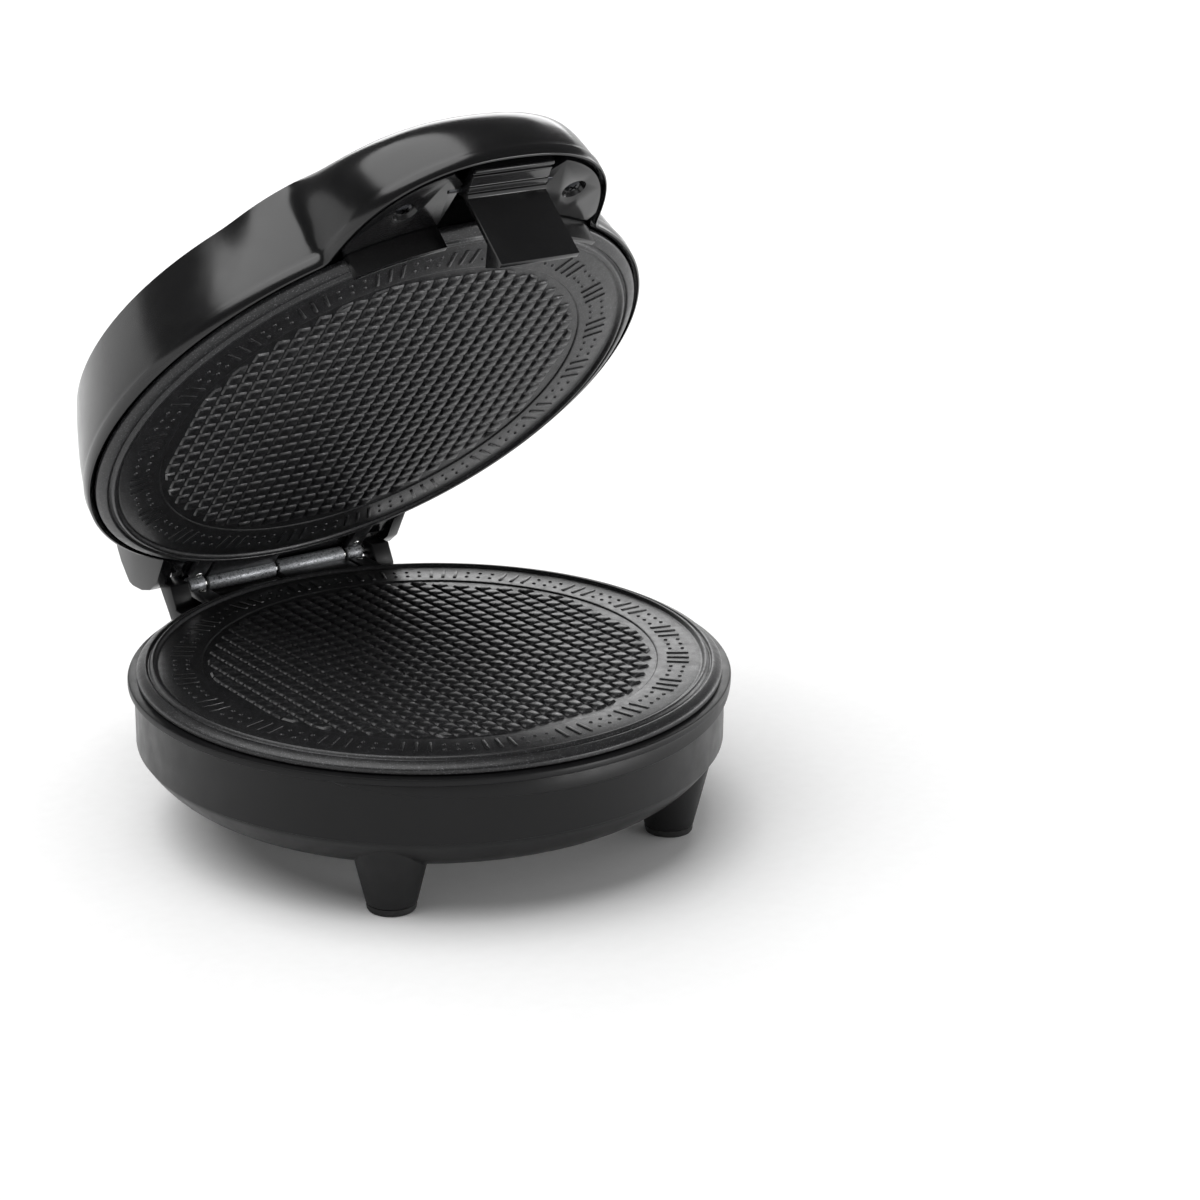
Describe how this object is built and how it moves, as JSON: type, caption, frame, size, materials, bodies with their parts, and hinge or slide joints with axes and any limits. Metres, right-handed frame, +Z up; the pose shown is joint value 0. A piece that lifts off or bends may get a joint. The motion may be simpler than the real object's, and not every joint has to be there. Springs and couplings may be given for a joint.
{
  "type": "stroopwafel maker",
  "caption": "Round bench-top stroopwafel maker with hinged lid, flat non-stick baking plates, hooked latch in the handle, and a bowl-shaped base on tapered legs.",
  "frame": {"origin": "on the bench plane, under the middle of the open appliance's box", "axes": "+X to the right of a person facing the handle, +Y to the hinge at the rear, +Z up; the lid stands open at rest"},
  "size_m": [0.237, 0.2714, 0.2843],
  "materials": {
    "satin_black_plastic": "satin moulded",
    "leg_plastic": "satin moulded",
    "foot_rubber": "matt",
    "gloss_black_plastic": "polished moulded",
    "inner_plastic": "fine textured moulded",
    "non_stick_casting": "speckled dark non-stick coating on a casting",
    "element_steel": "heat-tinted tube",
    "sheet_steel": "plain rolled sheet",
    "bright_steel": "zinc plated",
    "ceramic": "matt ceramic",
    "red_lens": "tinted lens",
    "green_lens": "tinted lens"
  },
  "bodies": {
    "base": {"lower_housing": "satin_black_plastic", "leg_rear_right": "leg_plastic", "foot_pad_rear_right": "foot_rubber", "leg_screw_rear_right": "bright_steel", "leg_rear_left": "leg_plastic", "foot_pad_rear_left": "foot_rubber", "leg_screw_rear_left": "bright_steel", "leg_front_left": "leg_plastic", "foot_pad_front_left": "foot_rubber", "leg_screw_front_left": "bright_steel", "leg_front_right": "leg_plastic", "foot_pad_front_right": "foot_rubber", "leg_screw_front_right": "bright_steel", "lower_plate": "non_stick_casting", "lower_heating_element": "element_steel", "lower_heat_shield": "sheet_steel", "thermostat": "sheet_steel", "lower_thermal_fuse": "ceramic", "lower_fuse_clip": "sheet_steel", "thermostat_screw_left": "bright_steel", "lower_clip_screw_left": "bright_steel", "lower_lug_rivet_left": "bright_steel", "thermostat_screw_right": "bright_steel", "lower_clip_screw_right": "bright_steel", "lower_lug_rivet_right": "bright_steel", "terminal_block": "ceramic", "cord_gland": "leg_plastic", "hinge_pin": "bright_steel"},
    "lid": {"lid_shell": "gloss_black_plastic", "lid_frame": "inner_plastic", "upper_plate": "non_stick_casting", "upper_heating_element": "element_steel", "upper_heat_shield": "sheet_steel", "upper_thermal_fuse": "ceramic", "upper_fuse_clip": "sheet_steel", "upper_plate_screw_rear_right": "bright_steel", "upper_plate_screw_rear_left": "bright_steel", "upper_plate_screw_front_left": "bright_steel", "upper_plate_screw_front_right": "bright_steel", "upper_clip_screw_left": "bright_steel", "upper_lug_rivet_left": "bright_steel", "handle_screw_left": "bright_steel", "upper_clip_screw_right": "bright_steel", "upper_lug_rivet_right": "bright_steel", "handle_screw_right": "bright_steel", "power_lamp": "red_lens", "ready_lamp": "green_lens", "latch_pin": "bright_steel"},
    "latch": {"latch": "inner_plastic"}
  },
  "joints": [
    {"name": "lid_hinge", "type": "hinge", "parent": "base", "child": "lid", "pos_m": [0, 0.10483, 0.066], "axis": [-1, 0, 0], "range_deg": [-47.7, 47.3]},
    {"name": "latch_swing", "type": "hinge", "parent": "lid", "child": "latch", "pos_m": [0, -0.06541, 0.26127], "axis": [1, 0, 0], "range_deg": [0, 26]}
  ]
}
